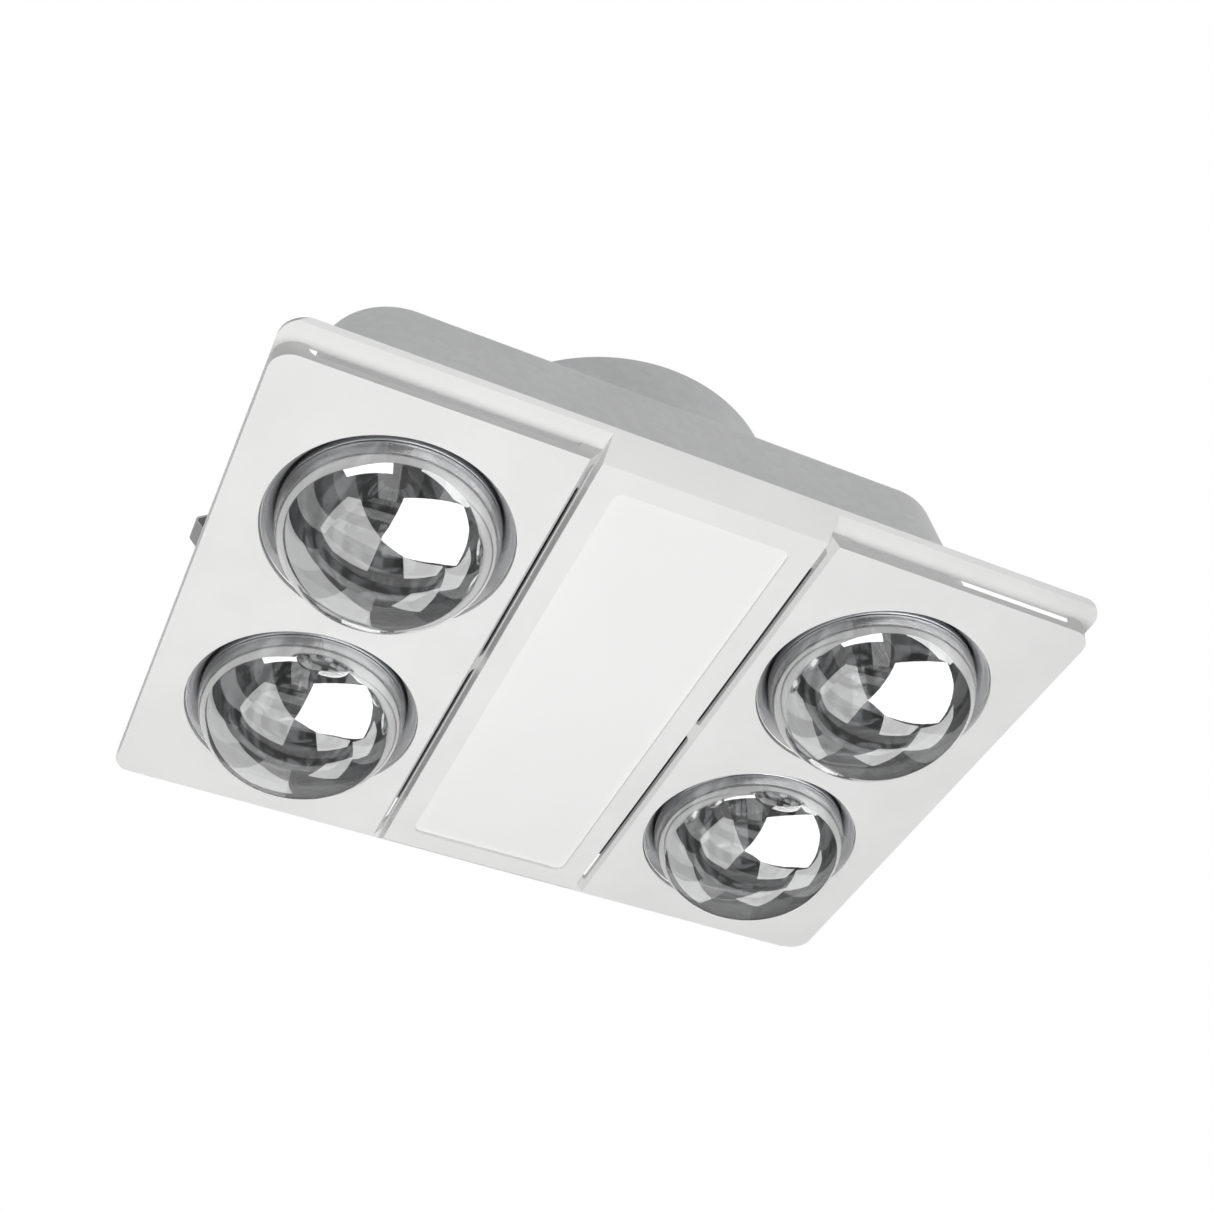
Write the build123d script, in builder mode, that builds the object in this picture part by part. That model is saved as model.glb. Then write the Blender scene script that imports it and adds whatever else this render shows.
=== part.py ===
from build123d import *
import os
from math import atan2, cos, hypot, pi, radians, sin, sqrt

# Ceiling-mounted bathroom unit: four heat lamps, a centre light and an exhaust fan.
# Millimetres. The ceiling plane is z = 0, the room is below it, the roof space above.
# x runs along the fascia, y across it; the near long side is at -y.

os.makedirs("parts", exist_ok=True)

overrun = 1.0
half_turn = 180
quarter_turn = 90

# Fascia: the face's length, the lamp openings and the margins round them give its outline
face_length = 498.0
opening_radius = 71.2
lamp_end_margin = 22.3
lamp_side_margin = 25.3
lamp_gap = 17.1
groove_margin = 8.1
groove_width = 7.2
groove_floor = 0.4
ledge_overhang = 0.5
bevel_run = 16.25
fascia_depth = 12.0
skin = 2.0
frame_corner = 16.0
panel_corner = 13.0
panel_flare = 1.0
lip_thickness = 2.0
lip_height = 4.0

# Intake slots: in the long walls of the panels and in the flanks of the grooves
wall_slot_length = 150.0
wall_slot_height = 5.7
wall_slot_corner = 4.4
wall_slot_shift = 2.0
flank_slot_length = 161.5
flank_slot_width = 3.8
flank_slot_bridge = 13.0
flank_slot_margin = 1.2

# Stiffening ribs and the four upright tabs on the fascia's back
rib_thickness = 1.6
rib_height = 2.2
tab_width = 14.0
tab_thickness = 2.0
tab_height = 24.0
tab_block_gap = 26.0
tab_gap = 2.5

# Light
window_side_margin = 15.0
window_end_margin = 15.25
window_corner = 6.0
diffuser_margin = 3.0
diffuser_thickness = 2.0
tray_margin = 1.0
tray_sheet = 1.0
tray_height = 7.0
board_margin = 2.0
board_thickness = 1.6
chip_size = 5.0
chip_height = 0.8
chip_columns = 4
chip_rows = 12
chip_edge_x = 14.0
chip_edge_y = 12.0
driver_length = 100.0
driver_width = 44.0
driver_height = 22.0
driver_corner = 4.0
driver_y = 80.0

# Housing: sheet steel, open below, leaning inwards to its roof
housing_end_inset = 24.5
housing_side_inset = 29.25
roof_end_inset = 11.5
roof_side_inset = 20.5
ceiling_gap = 0.5
ceiling_gap_margin = 2.0
housing_corner = 46.0
roof_edge = 4.0
housing_sheet = 1.0
lug_length = 20.0
lug_width = 22.0
lug_hole_radius = 2.5
lug_pitch_y = 120.0
lug_hole_inset = 10.0
lug_sheet = 1.0
lug_leg = 12.0
lug_corner = 4.0

# Fascia clips: leaf springs on the inside of the housing's long walls
clip_width = 12.0
clip_sheet = 0.6
clip_height = 30.0
clip_foot = 4.0

# Heat lamp, with its cap upwards
bulb_gap = 8.0
bulb_widest_z = -6.0
bulb_edge_radius = 48.0
bulb_front_radius = 85.0
glass_thickness = 1.0
bulb_shoulder_inset = 11.2
bulb_shoulder_rise = 36.0
bulb_waist_radius = 30.0
bulb_waist_rise = 66.0
neck_start_rise = 88.0
neck_length = 15.0
cap_radius = 13.4
cap_height = 21.0
insulator_radius = 8.0
insulator_height = 3.0
contact_radius = 4.5
contact_height = 2.5
filament_coil_radius = 1.6
filament_ring_radius = 16.0
filament_z = 20.0
filament_wire = 0.8
stem_radius = 5.0
stem_height = 46.0

# Lampholder, its bracket and the polished collar
holder_radius = 20.5
holder_bore_clearance = 0.5
holder_top_thickness = 4.0
holder_overlap = 1.0
holder_flange_radius = 25.0
holder_flange_thickness = 3.0
bracket_sheet = 1.5
bracket_rise = 12.5
bracket_width = 44.0
bracket_overhang = 34.0
bracket_foot = 12.0
collar_clearance = 0.3
collar_sheet = 0.8
collar_throat_gap = 1.4
collar_throat_z = 2.0
collar_upper_gap = 0.4
collar_upper_z = 13.0
collar_top_inset = 4.6
collar_top_z = 32.0

# Fan drum, its centre a little to the side of the impeller's axis
drum_radius = 119.8
drum_height = 50.0
drum_offset = 8.0
drum_sheet = 1.0
drum_edge = 3.0
drum_tab_reach = 11.0
drum_tab_width = 15.0
drum_tab_hole_inset = 5.5
drum_tab_turns = (20, 160, 200, 240, 300, 340)

# Inlet ring and roof opening
inlet_radius = 62.0
inlet_flange_radius = 79.0
inlet_curl = 5.0
inlet_sheet = 1.0
roof_opening_radius = 72.0

# Impeller, shaft and motor
impeller_radius = 78.0
impeller_gap = 0.8
impeller_height = 36.0
impeller_sheet = 1.2
blade_count = 28
blade_depth = 13.0
blade_thickness = 1.2
blade_bow_radius = 10.5
blade_sweep = 4.3
hub_radius = 13.0
hub_height = 22.0
cone_radius = 34.0
shaft_radius = 4.0
shaft_clearance = 0.05
shaft_tail = 2.0
shaft_chamfer = 0.5
nut_width = 11.0
nut_height = 3.2
motor_radius = 40.0
motor_height = 40.0
motor_edge = 4.0
motor_drop = 10.0
motor_band_height = 14.0
motor_band_thickness = 1.4
motor_vent_count = 12
motor_vent_radius = 2.2
motor_vent_pitch_radius = 26.0
arm_count = 3
arm_width = 14.0
arm_sheet = 1.6
arm_foot_radius = 90.0
arm_foot_length = 13.0
arm_plate_radius = 32.0
arm_plate_hole = 12.0

# Capacitor and clip
capacitor_radius = 12.5
capacitor_length = 52.0
capacitor_roof_inset = 26.5
capacitor_edge = 1.5
capacitor_drop = 0.8
clip_band_width = 12.0
clip_band_sheet = 0.8
clip_band_foot = 10.0

# Outlet duct: rectangular throat, changing to a round spigot
throat_width = 110.0
throat_height = 44.0
throat_corner = 6.0
throat_lift = 3.0
throat_x = 40.0
throat_end_y = 133.0
spigot_start_y = 172.0
spigot_end_y = 224.0
spigot_radius = 49.0
spigot_lift = 30.0
duct_wall = 1.2
stop_ring_width = 3.0
stop_ring_thickness = 1.2
stop_ring_y = 175.2

# Back-draught flaps on one upright pin
flap_pin_radius = 1.2
flap_pin_clearance = 0.05
flap_clearance = 0.9
flap_thickness = 1.0
flap_seat_gap = 0.2
flap_middle_gap = 0.4
flap_knuckle_radius = 2.2
flap_knuckle_gap = 0.2
flap_knuckle_count = 4
flap_knuckle_length = 18.0
flap_web_inset = 0.55
flap_web_thickness = 1.1
flap_joint_gap = 0.4

# Terminal box on the roof, lid, terminal block and cable gland
box_length = 70.0
box_width = 90.0
box_height = 34.0
box_wall = 2.0
box_corner = 5.0
box_x = 165.0
box_screw_gap = 2.15
box_post_radius = 3.8
box_post_clearance = 0.2
lid_thickness = 2.5
lid_lip = 2.0
lid_lip_depth = 3.0
lid_clearance = 0.2
terminal_count = 5
terminal_pitch = 11.0
terminal_width = 8.25
terminal_length = 20.0
terminal_height = 16.0
terminal_hole_radius = 2.2
gland_thread_radius = 8.0
gland_hex_width = 22.0
gland_hex_length = 6.0
gland_dome_length = 12.0
gland_dome_radius = 9.5
gland_mouth_radius = 6.5
gland_bore_radius = 4.0
gland_nut_length = 4.0
gland_z = 17.0

# Screws
screw_head_radius = 3.6
screw_head_height = 2.2
screw_shank_radius = 1.6
screw_shank_length = 3.4

# Spring catches on the housing's short ends: a bent leaf on a pin between two ears
catch_y = 4.8
catch_width = 15.0
catch_sheet = 1.2
catch_tip_overhang = 3.7
catch_tip_z = 38.0
catch_pin_z = 61.0
catch_pin_offset = 6.5
catch_pin_radius = 2.0
catch_pin_clearance = 0.05
catch_bend_radius = 3.0
catch_foot_run = 20.0
catch_foot_z = 13.5
catch_toe = 4.0
catch_ear_radius = 4.5
catch_side_gap = 0.4
catch_plate_height = 30.0
catch_stop_drop = 9.0
catch_stop_gap = 0.3
catch_pin_head_radius = 3.2
catch_pin_head_height = 1.2

# Places worked out from the sizes above
face_z = -fascia_depth
ledge_z = -skin
inner_face_z = face_z + skin
lamp_x = face_length / 2 - lamp_end_margin - opening_radius
lamp_y = opening_radius + lamp_gap / 2
lamp_pitch_x = 2 * lamp_x
lamp_pitch_y = 2 * lamp_y
face_width = 2 * (lamp_y + opening_radius + lamp_side_margin)
fascia_length = face_length + 2 * ledge_overhang
fascia_width = face_width + 2 * bevel_run
block_width = 2 * (lamp_x - opening_radius - groove_margin - groove_width)
tab_x = block_width / 2 + tab_block_gap
window_width = block_width - 2 * window_side_margin
window_length = face_width - 2 * window_end_margin
housing_length = face_length - 2 * housing_end_inset
housing_width = face_width - 2 * housing_side_inset
roof_length = housing_length - 2 * roof_end_inset
roof_width = housing_width - 2 * roof_side_inset
bulb_radius = opening_radius - bulb_gap
bulb_shoulder_radius = bulb_radius - bulb_shoulder_inset
collar_throat_radius = bulb_radius + collar_throat_gap
collar_upper_radius = bulb_radius + collar_upper_gap
collar_top_radius = bulb_radius - collar_top_inset
capacitor_y = roof_width / 2 - capacitor_roof_inset
lamp_places = {
    "near_left": (-lamp_x, -lamp_y),
    "near_right": (lamp_x, -lamp_y),
    "far_left": (-lamp_x, lamp_y),
    "far_right": (lamp_x, lamp_y),
}
sides = {"left": -1, "right": 1}


def finish(solid, name):
    """Label a finished piece and write it under its node's name."""
    solid.label = name
    export_step(solid, f"parts/{name}.step")


# Fascia
ledge_half_width = face_width / 2 + bevel_run * (fascia_depth - skin) / fascia_depth
bevel_skin = skin * hypot(bevel_run, fascia_depth) / fascia_depth
flank_skin = skin * hypot(groove_width, fascia_depth - skin) / (fascia_depth - skin)


def bevel_half_width(z):
    """Half width of the bevelled envelope at height z."""
    return face_width / 2 + bevel_run * (z - face_z) / fascia_depth


def groove_side(z):
    """x of a panel's flank at height z, from the face to the ledge."""
    share = (ledge_z - z) / (ledge_z - face_z)
    return block_width / 2 + groove_floor + (groove_width - groove_floor) * share


def panel_sketch(z, inset, flank_inset):
    """Outline of the left lamp panel at height z, drawn in by a wall."""
    share = (z - face_z) / (ledge_z - face_z)
    outer = face_length / 2 - inset
    inner = groove_side(z) + flank_inset
    half = face_width / 2 + panel_flare * share - inset
    with BuildSketch(Plane.XY.offset(z)) as outline:
        with Locations((-(outer + inner) / 2, 0)):
            Rectangle(outer - inner, 2 * half)
        fillet(outline.vertices().group_by(Axis.X)[0], panel_corner - inset)
    return outline.sketch


with BuildPart() as panel:
    loft([panel_sketch(face_z, 0, 0).face(), panel_sketch(ledge_z, 0, 0).face()], ruled=True)

with BuildPart() as panel_hollow:
    inner_floor = panel_sketch(inner_face_z, skin, flank_skin).face()
    inner_mouth = panel_sketch(overrun, skin, flank_skin).face()
    loft([inner_floor, inner_mouth], ruled=True)

with BuildPart() as wall_slots:
    slot_floor = ledge_z - wall_slot_height
    with BuildSketch(Plane.XZ.offset(face_width / 2 - 2 * skin)) as slot_outline:
        with Locations((lamp_x + wall_slot_shift, (slot_floor + ledge_z) / 2)):
            Rectangle(wall_slot_length, wall_slot_height)
        fillet(slot_outline.vertices().group_by(Axis.Y)[0], wall_slot_corner)
    extrude(amount=2 * skin + panel_flare + overrun)
    mirror(about=Plane.XZ)
    mirror(about=Plane.YZ)

with BuildPart() as flank_slots:
    slot_x = block_width / 2 + flank_slot_margin + flank_slot_width / 2
    with BuildSketch(Plane.XY.offset(face_z + skin / 2)):
        with Locations((slot_x, (flank_slot_length + flank_slot_bridge) / 2)):
            SlotOverall(flank_slot_length, flank_slot_width, rotation=quarter_turn)
    extrude(amount=fascia_depth + overrun)
    mirror(about=Plane.XZ)
    mirror(about=Plane.YZ)

with BuildPart() as fascia:
    with BuildSketch(Plane.YZ):
        with BuildLine():
            Polyline(
                (-fascia_width / 2, 0),
                (-ledge_half_width, ledge_z),
                (ledge_half_width, ledge_z),
                (fascia_width / 2, 0),
                close=True,
            )
        make_face()
    extrude(amount=fascia_length / 2, both=True)
    with BuildSketch(Plane.XY.offset(ledge_z)):
        RectangleRounded(fascia_length, fascia_width, frame_corner)
    extrude(amount=skin, mode=Mode.INTERSECT)
    add(panel.part)
    mirror(panel.part, about=Plane.YZ)
    with BuildSketch(Plane.YZ):
        with BuildLine():
            Polyline(
                (-fascia_width / 2, 0),
                (-face_width / 2, face_z),
                (face_width / 2, face_z),
                (fascia_width / 2, 0),
                close=True,
            )
        make_face()
    extrude(amount=block_width / 2, both=True)
    add(panel_hollow.part, mode=Mode.SUBTRACT)
    mirror(panel_hollow.part, about=Plane.YZ, mode=Mode.SUBTRACT)
    with BuildSketch(Plane.YZ):
        with BuildLine():
            Polyline(
                (-bevel_half_width(overrun) + bevel_skin, overrun),
                (-bevel_half_width(inner_face_z) + bevel_skin, inner_face_z),
                (bevel_half_width(inner_face_z) - bevel_skin, inner_face_z),
                (bevel_half_width(overrun) - bevel_skin, overrun),
                close=True,
            )
        make_face()
    extrude(amount=block_width / 2 - skin, both=True, mode=Mode.SUBTRACT)
    with BuildSketch(Plane.XY.offset(inner_face_z)):
        with GridLocations(lamp_pitch_x, lamp_pitch_y, 2, 2):
            Circle(opening_radius + lip_thickness)
            Circle(opening_radius, mode=Mode.SUBTRACT)
    extrude(amount=lip_height)
    # Ribs join the lips to the long walls and stiffen the middle of each panel
    with BuildSketch(Plane.XY.offset(inner_face_z)):
        rib_reach = face_width / 2 - skin - lamp_y - opening_radius - lip_thickness / 2
        rib_y = lamp_y + opening_radius + lip_thickness / 2 + rib_reach / 2
        with GridLocations(lamp_pitch_x, 2 * rib_y, 2, 2):
            Rectangle(rib_thickness, rib_reach)
        panel_middle = (face_length / 2 + groove_side(inner_face_z)) / 2
        panel_span = face_length / 2 - groove_side(inner_face_z) - skin - flank_skin
        with GridLocations(2 * panel_middle, 0, 2, 1):
            Rectangle(panel_span, rib_thickness)
    extrude(amount=rib_height)
    with BuildSketch(Plane.XY.offset(face_z)):
        with GridLocations(lamp_pitch_x, lamp_pitch_y, 2, 2):
            Circle(opening_radius)
        RectangleRounded(window_width, window_length, window_corner)
    extrude(amount=skin, mode=Mode.SUBTRACT)
    add(wall_slots.part, mode=Mode.SUBTRACT)
    add(flank_slots.part, mode=Mode.SUBTRACT)
    with BuildSketch(Plane.XY.offset(inner_face_z)):
        tab_y = housing_width / 2 - housing_sheet - tab_gap - tab_thickness / 2
        with GridLocations(2 * tab_x, 2 * tab_y, 2, 2):
            Rectangle(tab_width, tab_thickness)
    extrude(amount=tab_height)
    # The flange alone meets the ceiling: inside it the back lies lower, under the housing
    with BuildSketch(Plane.XY.offset(-ceiling_gap)):
        Rectangle(housing_length + 2 * ceiling_gap_margin, housing_width + 2 * ceiling_gap_margin)
        with GridLocations(2 * tab_x, 2 * tab_y, 2, 2):
            Rectangle(tab_width, tab_thickness, mode=Mode.SUBTRACT)
    extrude(amount=ceiling_gap + overrun, mode=Mode.SUBTRACT)
finish(fascia.part, "fascia")

# Light: diffuser, tray, board, chips and driver
with BuildPart() as diffuser:
    with BuildSketch(Plane.XY.offset(inner_face_z)):
        RectangleRounded(
            window_width + 2 * diffuser_margin, window_length + 2 * diffuser_margin, window_corner
        )
    extrude(amount=diffuser_thickness)
finish(diffuser.part, "led_diffuser")

tray_width = window_width + 2 * (diffuser_margin + tray_margin)
tray_length = window_length + 2 * (diffuser_margin + tray_margin)
tray_z = inner_face_z + diffuser_thickness
tray_top = tray_z + tray_height
with BuildPart() as tray:
    with BuildSketch(Plane.XY.offset(tray_z)):
        RectangleRounded(tray_width, tray_length, window_corner)
    extrude(amount=tray_height)
    with BuildSketch(Plane.XY.offset(tray_z)):
        RectangleRounded(
            tray_width - 2 * tray_sheet, tray_length - 2 * tray_sheet, window_corner - tray_sheet
        )
    extrude(amount=tray_height - tray_sheet, mode=Mode.SUBTRACT)
finish(tray.part, "led_tray")

board_top = tray_top - tray_sheet
board_width = tray_width - 2 * (tray_sheet + board_margin)
board_length = tray_length - 2 * (tray_sheet + board_margin)
chip_pitch_x = (board_width - chip_edge_x) / chip_columns
chip_pitch_y = (board_length - chip_edge_y) / chip_rows
with BuildPart() as board:
    with BuildSketch(Plane.XY.offset(board_top - board_thickness)):
        Rectangle(board_width, board_length)
    extrude(amount=board_thickness)
finish(board.part, "led_board")

with BuildPart() as chips:
    with BuildSketch(Plane.XY.offset(board_top - board_thickness - chip_height)):
        with GridLocations(chip_pitch_x, chip_pitch_y, chip_columns, chip_rows):
            Rectangle(chip_size, chip_size)
    extrude(amount=chip_height)
finish(chips.part, "led_chips")

with BuildPart() as driver:
    with BuildSketch(Plane.XY.offset(tray_top)):
        with Locations((0, driver_y)):
            RectangleRounded(driver_width, driver_length, driver_corner)
    extrude(amount=driver_height)
    chamfer(driver.edges().group_by(Axis.Z)[-1], driver_corner / 2)
finish(driver.part, "led_driver")

# Heights of the lamps, which set the height of the housing above them
neck_end_z = bulb_widest_z + neck_start_rise + neck_length
cap_end_z = neck_end_z + cap_height
holder_end_z = cap_end_z + contact_height + holder_top_thickness
roof_under = holder_end_z + bracket_rise
housing_height = roof_under + housing_sheet


# Housing
def housing_outline(z, inset):
    """Rounded outline of the housing at height z, drawn in by the sheet."""
    share = z / housing_height
    length = housing_length + (roof_length - housing_length) * share - 2 * inset
    width = housing_width + (roof_width - housing_width) * share - 2 * inset
    with BuildSketch(Plane.XY.offset(z)) as outline:
        RectangleRounded(length, width, housing_corner - inset)
    return outline.sketch.face()


def end_wall_x(z):
    """Half length of the housing's outside at height z."""
    return (housing_length + (roof_length - housing_length) * z / housing_height) / 2


def long_wall_y(z):
    """Half width of the housing's outside at height z."""
    return (housing_width + (roof_width - housing_width) * z / housing_height) / 2


arm_screw_radius = arm_foot_radius - arm_foot_length / 2
arm_places = PolarLocations(arm_screw_radius, arm_count, start_angle=quarter_turn)
strap_half = lamp_y + bracket_overhang
strap_places = GridLocations(lamp_pitch_x, 2 * strap_half - bracket_foot, 2, 2)
drum_screw_radius = drum_radius + drum_tab_reach - drum_tab_hole_inset
drum_tab_spots = []
for turn in drum_tab_turns:
    spot_x = drum_offset + drum_screw_radius * cos(radians(turn))
    spot_y = drum_screw_radius * sin(radians(turn))
    drum_tab_spots.append(Location((spot_x, spot_y, 0), (0, 0, turn)))
drum_tab_places = Locations(*drum_tab_spots)
box_centre_x = -box_x
box_y = strap_half - bracket_foot / 2 - screw_head_radius - box_screw_gap - box_width / 2
gland_face_x = box_centre_x - box_length / 2

with BuildPart() as housing_inside:
    loft([housing_outline(-overrun, housing_sheet), housing_outline(roof_under, housing_sheet)])
    fillet(housing_inside.faces().sort_by(Axis.Z)[-1].edges(), roof_edge - housing_sheet)

with BuildPart() as housing:
    loft([housing_outline(0, 0), housing_outline(housing_height, 0)])
    fillet(housing.faces().sort_by(Axis.Z)[-1].edges(), roof_edge)
    add(housing_inside.part, mode=Mode.SUBTRACT)
    with BuildSketch(Plane.XY.offset(roof_under - overrun)):
        Circle(roof_opening_radius)
        with Locations((box_centre_x, box_y)):
            Circle(gland_thread_radius)
        with drum_tab_places:
            Circle(screw_shank_radius)
        with arm_places:
            Circle(screw_shank_radius)
        with strap_places:
            Circle(screw_shank_radius)
    extrude(amount=housing_sheet + 2 * overrun, mode=Mode.SUBTRACT)
finish(housing.part, "housing")

# Ceiling lugs: angles welded to the end walls, their feet turned out at the ceiling plane
lug_pitch_x = housing_length + 2 * (lug_length - lug_hole_inset)
with BuildPart() as lugs:
    with BuildSketch(Plane.XZ.offset((lug_pitch_y - lug_width) / 2)):
        with BuildLine():
            Polyline(
                (end_wall_x(0), 0),
                (end_wall_x(0), -lug_sheet),
                (end_wall_x(0) + lug_length, -lug_sheet),
                (end_wall_x(0) + lug_length, 0),
                (end_wall_x(0) + lug_sheet, 0),
                (end_wall_x(lug_leg) + lug_sheet, lug_leg),
                (end_wall_x(lug_leg), lug_leg),
                close=True,
            )
        make_face()
    extrude(amount=lug_width)
    feet = lugs.edges().filter_by(Axis.Z).group_by(Axis.X)[-1]
    fillet(feet, lug_corner)
    mirror(about=Plane.XZ)
    mirror(about=Plane.YZ)
    with BuildSketch(Plane.XY.offset(-lug_sheet - overrun)):
        with GridLocations(lug_pitch_x, lug_pitch_y, 2, 2):
            Circle(lug_hole_radius)
    extrude(amount=lug_sheet + 2 * overrun, mode=Mode.SUBTRACT)
finish(lugs.part, "ceiling_lugs")

# Leaf clips: a foot on the wall, a leg that presses the fascia's tab
clip_wall_y = long_wall_y(clip_height) - housing_sheet
tab_face_y = tab_y - tab_thickness / 2
clip_press_z = inner_face_z + tab_height - clip_foot
with BuildPart() as clips:
    with BuildSketch(Plane.YZ.offset(tab_x - clip_width / 2)):
        with BuildLine():
            clip_top = clip_height + 2 * clip_foot
            clip_line = Polyline(
                (long_wall_y(clip_top) - housing_sheet - clip_sheet, clip_top),
                (clip_wall_y - clip_sheet, clip_height),
                (tab_face_y - clip_sheet, clip_press_z),
                (tab_face_y - clip_foot / 2, clip_press_z - clip_foot),
            )
            offset(clip_line, amount=clip_sheet, side=Side.RIGHT)
        make_face()
    extrude(amount=clip_width)
    mirror(about=Plane.XZ)
    mirror(about=Plane.YZ)
finish(clips.part, "fascia_clips")

# Heat lamps: each piece is made once on the z axis and placed four times
edge_ring = bulb_radius - bulb_edge_radius
front_angle = atan2(edge_ring, sqrt((bulb_front_radius - bulb_edge_radius) ** 2 - edge_ring**2))
front_apex_z = (
    bulb_widest_z + (bulb_front_radius - bulb_edge_radius) * cos(front_angle) - bulb_front_radius
)


def bulb_front(inset):
    """Half outline of the front glass from its apex to the widest circle, drawn in by the glass."""
    edge = bulb_edge_radius - inset
    cap = bulb_front_radius - inset
    centre_z = front_apex_z + bulb_front_radius
    meet = (cap * sin(front_angle), centre_z - cap * cos(front_angle))
    middle = (cap * sin(front_angle / 2), centre_z - cap * cos(front_angle / 2))
    turn = (pi / 2 + front_angle) / 2
    bend = (edge_ring + edge * sin(turn), bulb_widest_z - edge * cos(turn))
    return (0, centre_z - cap), middle, meet, bend, (edge_ring + edge, bulb_widest_z)


with BuildPart() as front_glass:
    with BuildSketch(Plane.XZ):
        with BuildLine():
            apex, middle, meet, bend, rim = bulb_front(0)
            ThreePointArc(apex, middle, meet)
            ThreePointArc(meet, bend, rim)
            in_apex, in_middle, in_meet, in_bend, in_rim = bulb_front(glass_thickness)
            Line(rim, in_rim)
            ThreePointArc(in_rim, in_bend, in_meet)
            ThreePointArc(in_meet, in_middle, in_apex)
            Line(in_apex, apex)
        make_face()
    revolve(axis=Axis.Z)

neck_start_z = bulb_widest_z + neck_start_rise
with BuildPart() as mirror_glass:
    with BuildSketch(Plane.XZ):
        with BuildLine():
            back_points = [
                (bulb_radius, bulb_widest_z),
                (bulb_shoulder_radius, bulb_widest_z + bulb_shoulder_rise),
                (bulb_waist_radius, bulb_widest_z + bulb_waist_rise),
                (cap_radius, neck_start_z),
            ]
            for wall in (0, glass_thickness):
                rim, shoulder, waist, neck = [(r - wall, z) for r, z in back_points]
                round_back = TangentArc(rim, shoulder, tangent=(0, 1))
                slope = Line(shoulder, waist)
                TangentArc(waist, neck, tangent=slope % 1)
                Line(neck, (cap_radius - wall, neck_end_z))
            Line((bulb_radius, bulb_widest_z), (bulb_radius - glass_thickness, bulb_widest_z))
            Line((cap_radius, neck_end_z), (cap_radius - glass_thickness, neck_end_z))
        make_face()
    revolve(axis=Axis.Z)

with BuildPart() as filament:
    with BuildSketch(Plane.XY.offset(filament_z)):
        Circle(filament_ring_radius + filament_coil_radius)
        Circle(filament_ring_radius - filament_coil_radius, mode=Mode.SUBTRACT)
    extrude(amount=filament_coil_radius)
    with BuildSketch(Plane.XY.offset(neck_end_z - stem_height)):
        Circle(stem_radius)
    extrude(amount=stem_height)
    with BuildSketch(Plane.XZ):
        with BuildLine():
            wire = Polyline(
                (stem_radius - filament_wire, neck_end_z - stem_height + filament_wire),
                (filament_ring_radius, filament_z + filament_coil_radius / 2),
            )
            offset(wire, amount=filament_wire / 2)
        make_face()
    extrude(amount=filament_wire / 2, both=True)
    mirror(about=Plane.YZ)

with BuildPart() as lamp_cap:
    with BuildSketch(Plane.XZ):
        with BuildLine():
            Polyline(
                (0, neck_end_z),
                (cap_radius, neck_end_z),
                (cap_radius, cap_end_z - insulator_height),
                (insulator_radius, cap_end_z),
                (contact_radius, cap_end_z),
                (contact_radius, cap_end_z + contact_height),
                (0, cap_end_z + contact_height),
                close=True,
            )
        make_face()
    revolve(axis=Axis.Z)

holder_start_z = neck_end_z + holder_overlap
with BuildPart() as holder:
    with BuildSketch(Plane.XY.offset(holder_start_z)):
        Circle(holder_radius)
    extrude(amount=holder_end_z - holder_start_z)
    with BuildSketch(Plane.XY.offset(holder_end_z - holder_flange_thickness)):
        Circle(holder_flange_radius)
    extrude(amount=holder_flange_thickness)
    with BuildSketch(Plane.XY.offset(holder_start_z)):
        Circle(cap_radius + holder_bore_clearance)
    extrude(amount=holder_end_z - holder_start_z - holder_top_thickness, mode=Mode.SUBTRACT)

collar_rim_radius = opening_radius - collar_clearance
collar_points = [
    (collar_rim_radius, inner_face_z + collar_clearance),
    (collar_throat_radius, collar_throat_z),
    (collar_upper_radius, collar_upper_z),
    (collar_top_radius, collar_top_z),
]
with BuildPart() as collar:
    with BuildSketch(Plane.XZ):
        with BuildLine():
            outer_points = collar_points + [(r - collar_sheet, z) for r, z in reversed(collar_points)]
            Polyline(*outer_points, close=True)
        make_face()
    revolve(axis=Axis.Z)

for place, (x, y) in lamp_places.items():
    finish(Pos(x, y) * front_glass.part, f"lamp_{place}_front_glass")
    finish(Pos(x, y) * mirror_glass.part, f"lamp_{place}_mirror_glass")
    finish(Pos(x, y) * filament.part, f"lamp_{place}_filament")
    finish(Pos(x, y) * lamp_cap.part, f"lamp_{place}_cap")
    finish(Pos(x, y) * holder.part, f"lamp_{place}_holder")
    finish(Pos(x, y) * collar.part, f"lamp_{place}_collar")

# Holder brackets: a strap over two lampholders, bent up to the roof at both ends
with BuildPart() as holder_bracket:
    with BuildSketch(Plane.YZ.offset(-bracket_width / 2)):
        with BuildLine():
            Polyline(
                (-strap_half + bracket_foot, holder_end_z),
                (strap_half - bracket_foot, holder_end_z),
                (strap_half - bracket_foot, roof_under - bracket_sheet),
                (strap_half, roof_under - bracket_sheet),
                (strap_half, roof_under),
                (strap_half - bracket_foot - bracket_sheet, roof_under),
                (strap_half - bracket_foot - bracket_sheet, holder_end_z + bracket_sheet),
                (-strap_half + bracket_foot + bracket_sheet, holder_end_z + bracket_sheet),
                (-strap_half + bracket_foot + bracket_sheet, roof_under),
                (-strap_half, roof_under),
                (-strap_half, roof_under - bracket_sheet),
                (-strap_half + bracket_foot, roof_under - bracket_sheet),
                close=True,
            )
        make_face()
    extrude(amount=bracket_width)
    with BuildSketch(Plane.XY.offset(roof_under - bracket_sheet - overrun)):
        with GridLocations(0, 2 * strap_half - bracket_foot, 1, 2):
            Circle(screw_shank_radius)
    extrude(amount=bracket_sheet + 2 * overrun, mode=Mode.SUBTRACT)
for side, sign in sides.items():
    finish(Pos(sign * lamp_x) * holder_bracket.part, f"holder_bracket_{side}")

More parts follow.
